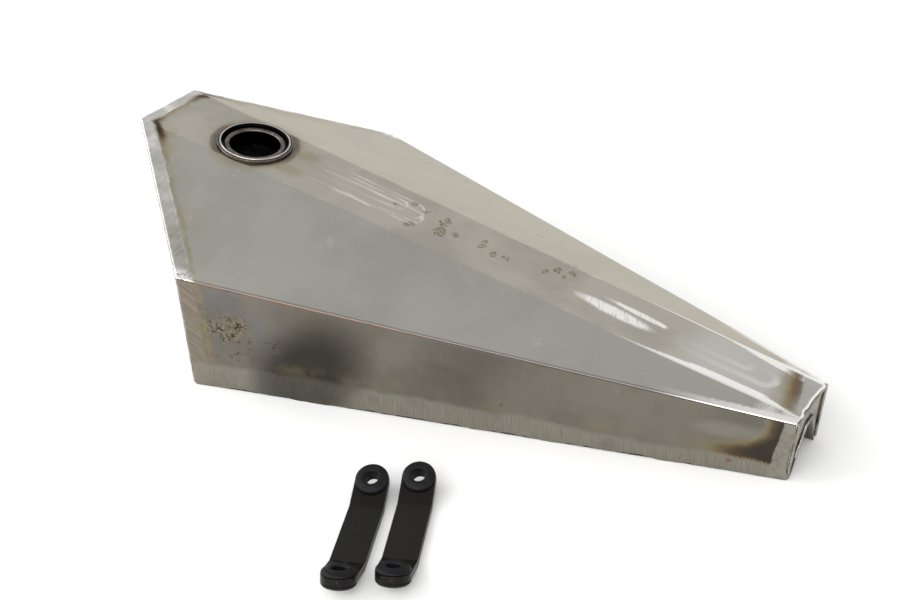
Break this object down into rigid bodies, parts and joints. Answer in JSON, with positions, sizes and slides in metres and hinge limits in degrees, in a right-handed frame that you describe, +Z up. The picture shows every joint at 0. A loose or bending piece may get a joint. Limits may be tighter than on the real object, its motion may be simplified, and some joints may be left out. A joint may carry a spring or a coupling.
{
  "type": "fuel tank",
  "caption": "Bare sheet-steel motorcycle fuel tank with faceted sides that taper to a narrow tail, an open round filler neck, a channel underneath and loose mounting straps.",
  "frame": {"origin": "on the flat roof of the backbone channel under the tank, on its centre line at mid-length; the surface that the tank stands on is 29.5 mm below it", "axes": "+X along the tank from the wide, high front to the narrow tail; +Z up; -Y is the rider's left, where the loose straps lie"},
  "size_m": [0.5337, 0.4019, 0.146],
  "materials": {
    "ground_sheet_steel": "bare satin mild steel sheet, ground at the welds, heat-tinted beside them, with scratches and water stains",
    "plate_steel": "bare mill-finish steel plate",
    "weld_metal": "weld bead, lightly ground",
    "neck_steel": "turned steel, bright on the rim",
    "cam_steel": "pressed steel, browned by welding heat",
    "turned_steel": "turned steel",
    "strap_paint": "satin black powder coat on flat steel bar",
    "grommet_rubber": "matte black moulded rubber"
  },
  "bodies": {
    "tank": {"backbone_channel": "plate_steel", "bottom_plate_left": "plate_steel", "bottom_plate_right": "plate_steel", "filler_cam_ring": "cam_steel", "filler_neck": "neck_steel", "front_wall_left": "plate_steel", "front_wall_right": "plate_steel", "mount_bung_front_left": "turned_steel", "mount_bung_front_right": "turned_steel", "mount_bung_rear_left": "turned_steel", "mount_bung_rear_right": "turned_steel", "nose_plate": "plate_steel", "petcock_bung": "turned_steel", "rear_plate": "plate_steel", "top_skin": "ground_sheet_steel", "weld_bottom_left": "weld_metal", "weld_bottom_right": "weld_metal", "weld_bung_front_left": "weld_metal", "weld_bung_front_right": "weld_metal", "weld_bung_rear_left": "weld_metal", "weld_bung_rear_right": "weld_metal", "weld_channel_front": "weld_metal", "weld_channel_left": "weld_metal", "weld_channel_rear": "weld_metal", "weld_channel_right": "weld_metal", "weld_filler_neck": "weld_metal", "weld_front_left": "weld_metal", "weld_front_right": "weld_metal", "weld_nose": "weld_metal", "weld_petcock_bung": "weld_metal", "weld_rear": "weld_metal"},
    "strap_left": {"mount_strap_left": "strap_paint", "grommet_left_near": "grommet_rubber", "grommet_left_far": "grommet_rubber"},
    "strap_right": {"mount_strap_right": "strap_paint", "grommet_right_near": "grommet_rubber", "grommet_right_far": "grommet_rubber"}
  },
  "joints": [
    {"name": "strap_left_lift", "type": "slide", "parent": "tank", "child": "strap_left", "axis": [0, 0, 1], "range_m": [0, 0.12]},
    {"name": "strap_right_lift", "type": "slide", "parent": "tank", "child": "strap_right", "axis": [0, 0, 1], "range_m": [0, 0.12]}
  ]
}
